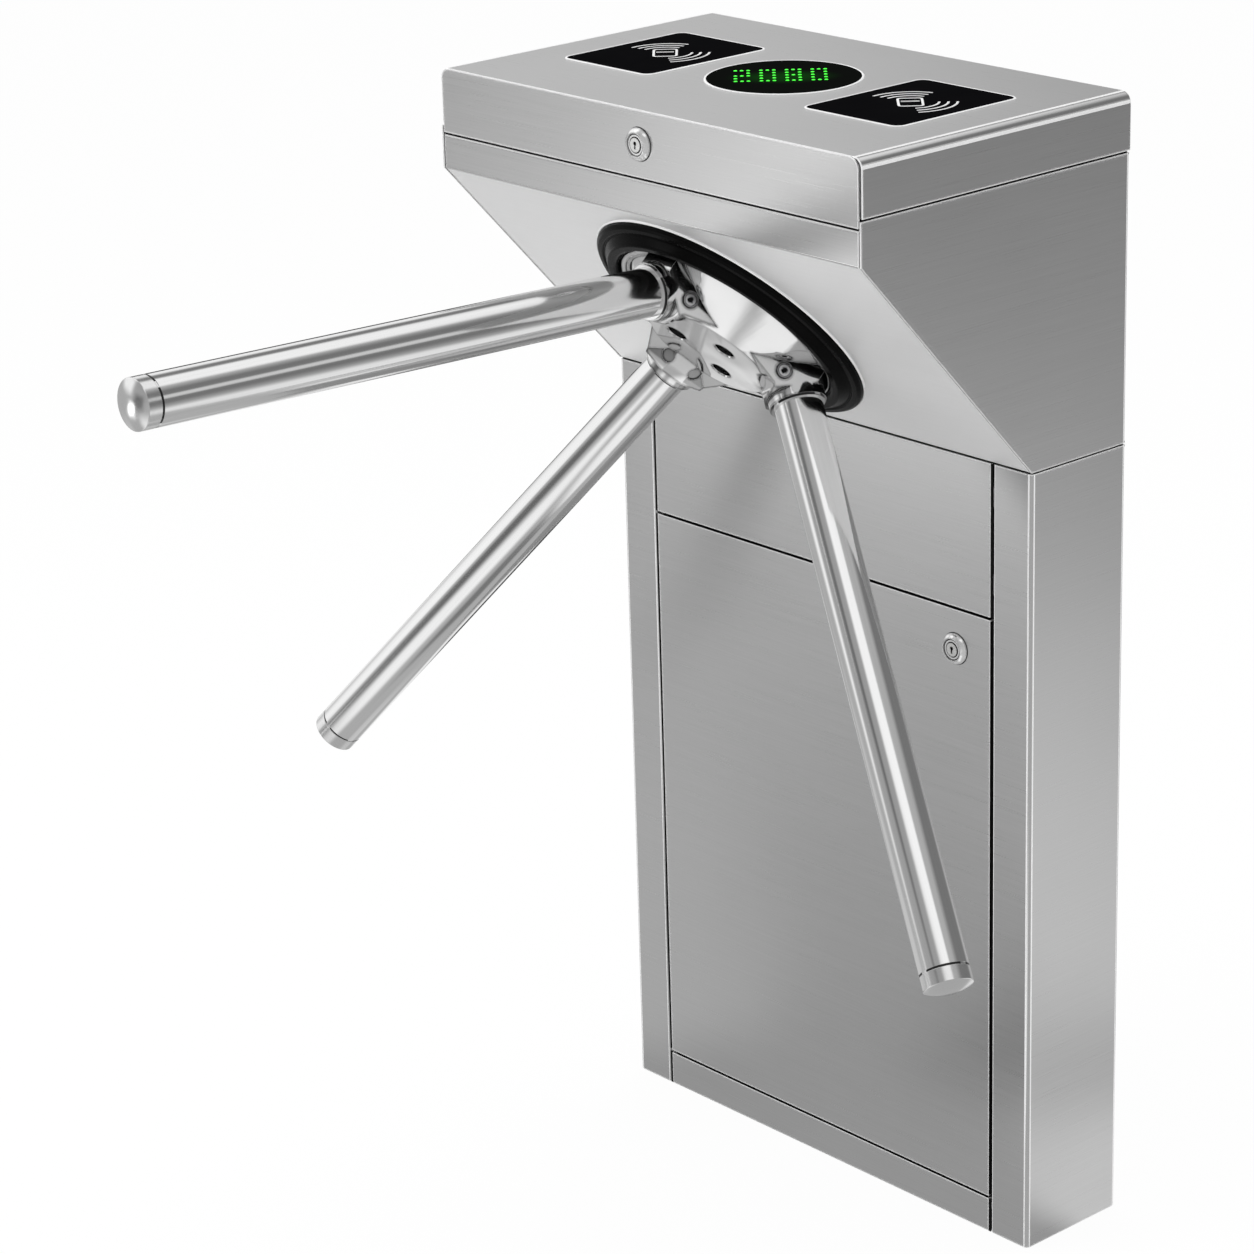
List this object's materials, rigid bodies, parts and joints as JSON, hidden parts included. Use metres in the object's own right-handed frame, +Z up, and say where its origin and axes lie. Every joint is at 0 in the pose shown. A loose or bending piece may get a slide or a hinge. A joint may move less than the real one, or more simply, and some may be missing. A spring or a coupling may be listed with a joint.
{
  "type": "tripod turnstile",
  "caption": "Free-standing tripod turnstile: narrow sheet-steel pedestal with a service door, sloped head, hinged lid with readers, and a locking hub with angled arms.",
  "frame": {"origin": "centre of the pedestal's base on the floor", "axes": "+Z up; +X to the right along the front, as someone faces it; the arms and the head reach towards -Y; the flat back faces +Y"},
  "size_m": [0.789, 0.8044, 0.9806],
  "materials": {
    "brushed_sheet": "brushed stainless sheet, satin",
    "steel_plate": "zinc plated plate",
    "chromed_arm": "polished tube",
    "polished_casting": "polished casting",
    "steel_fasteners": "bright steel",
    "hinge_steel": "brushed",
    "black_rubber": "satin black rubber",
    "housing_alloy": "machined",
    "machined_steel": "machined steel",
    "black_plastic": "moulded",
    "power_case": "grey case",
    "green_board": "board with lamps",
    "black_window": "black gloss window",
    "lock_chrome": "chromed lock"
  },
  "bodies": {
    "cabinet": {"pedestal_shell": "brushed_sheet", "upper_panel": "brushed_sheet", "bottom_rail": "brushed_sheet", "base_plate": "steel_plate", "back_posts": "steel_plate", "head_gasket": "black_rubber", "head_shell": "brushed_sheet", "sloped_panel": "brushed_sheet", "lid_seal": "black_rubber", "lid_strike": "steel_plate", "lid_hinge_fixed": "hinge_steel", "lid_hinge_pins": "steel_fasteners", "hub_ring": "black_rubber", "mechanism_plate": "steel_plate", "plate_posts": "steel_plate", "bearing_housing": "housing_alloy", "housing_screws": "steel_fasteners", "bearings": "machined_steel", "damper": "housing_alloy", "solenoids": "black_plastic", "pawl_pins": "steel_fasteners", "control_box": "black_plastic", "power_supply": "power_case", "transformer": "steel_plate", "door_pivots": "steel_fasteners", "key_switch_body": "lock_chrome", "key_switch_block": "black_plastic"},
    "rotor": {"hub": "polished_casting", "hub_bolts": "steel_fasteners", "boss_screws": "steel_fasteners", "arm_upper": "chromed_arm", "arm_right": "chromed_arm", "arm_left": "chromed_arm", "arm_caps": "chromed_arm", "arm_rings": "black_rubber", "main_shaft": "machined_steel", "lock_wheel": "machined_steel", "main_gear": "machined_steel"},
    "damper_rotor": {"damper_pinion": "machined_steel"},
    "pawl_right": {"pawl_right": "machined_steel"},
    "pawl_left": {"pawl_left": "machined_steel"},
    "plunger_right": {"plunger_right": "machined_steel"},
    "plunger_left": {"plunger_left": "machined_steel"},
    "lid": {"lid_shell": "brushed_sheet", "lid_front": "brushed_sheet", "reader_window_left": "black_window", "reader_window_right": "black_window", "display_window": "black_window", "reader_modules": "black_plastic", "display_module": "green_board", "lid_hinge_moving": "hinge_steel", "lid_lock_body": "lock_chrome"},
    "lid_cam": {"lid_lock_core": "lock_chrome"},
    "door": {"door_panel": "brushed_sheet", "door_lock_body": "lock_chrome"},
    "door_cam": {"door_lock_core": "lock_chrome"},
    "key_switch": {"key_switch_core": "lock_chrome"}
  },
  "joints": [
    {"name": "hub_spin", "type": "hinge", "parent": "cabinet", "child": "rotor", "pos_m": [0, -0.15, 0.794], "axis": [0, 0.7354, 0.6777], "continuous": true},
    {"name": "damper_spin", "type": "hinge", "parent": "cabinet", "child": "damper_rotor", "pos_m": [0.09, -0.07646, 0.86177], "axis": [0, 0.7354, 0.6777], "continuous": true},
    {"name": "pawl_right_swing", "type": "hinge", "parent": "cabinet", "child": "pawl_right", "pos_m": [0.06301, -0.03861, 0.81775], "axis": [0, 0.7354, 0.6777], "range_deg": [0, 9]},
    {"name": "pawl_left_swing", "type": "hinge", "parent": "cabinet", "child": "pawl_left", "pos_m": [-0.06301, -0.03861, 0.81775], "axis": [0, -0.7354, -0.6777], "range_deg": [0, 9]},
    {"name": "plunger_right_travel", "type": "slide", "parent": "cabinet", "child": "plunger_right", "axis": [0, -0.6777, 0.7354], "range_m": [0, 0.00427]},
    {"name": "plunger_left_travel", "type": "slide", "parent": "cabinet", "child": "plunger_left", "axis": [0, -0.6777, 0.7354], "range_m": [0, 0.00427]},
    {"name": "lid_hinge", "type": "hinge", "parent": "cabinet", "child": "lid", "pos_m": [0, 0.0605, 0.93225], "axis": [-1, 0, 0], "range_deg": [0, 95]},
    {"name": "lid_lock_turn", "type": "hinge", "parent": "lid", "child": "lid_cam", "pos_m": [0, -0.244, 0.953], "axis": [0, -1, 0], "range_deg": [0, 90]},
    {"name": "door_swing", "type": "hinge", "parent": "cabinet", "child": "door", "pos_m": [-0.196, -0.0515, 0.3], "axis": [0, 0, -1], "range_deg": [0, 80]},
    {"name": "door_lock_turn", "type": "hinge", "parent": "door", "child": "door_cam", "pos_m": [0.1615, -0.056, 0.523], "axis": [0, -1, 0], "range_deg": [0, 90]},
    {"name": "key_switch_turn", "type": "hinge", "parent": "cabinet", "child": "key_switch", "pos_m": [-0.245, -0.039, 0.662], "axis": [-1, 0, 0], "range_deg": [0, 90]}
  ],
  "couplings": [
    {"joint": "damper_spin", "follows": "hub_spin", "ratio": -4},
    {"joint": "plunger_right_travel", "follows": "pawl_right_swing", "m_per_rad": 0.025922},
    {"joint": "plunger_left_travel", "follows": "pawl_left_swing", "m_per_rad": 0.025922}
  ]
}
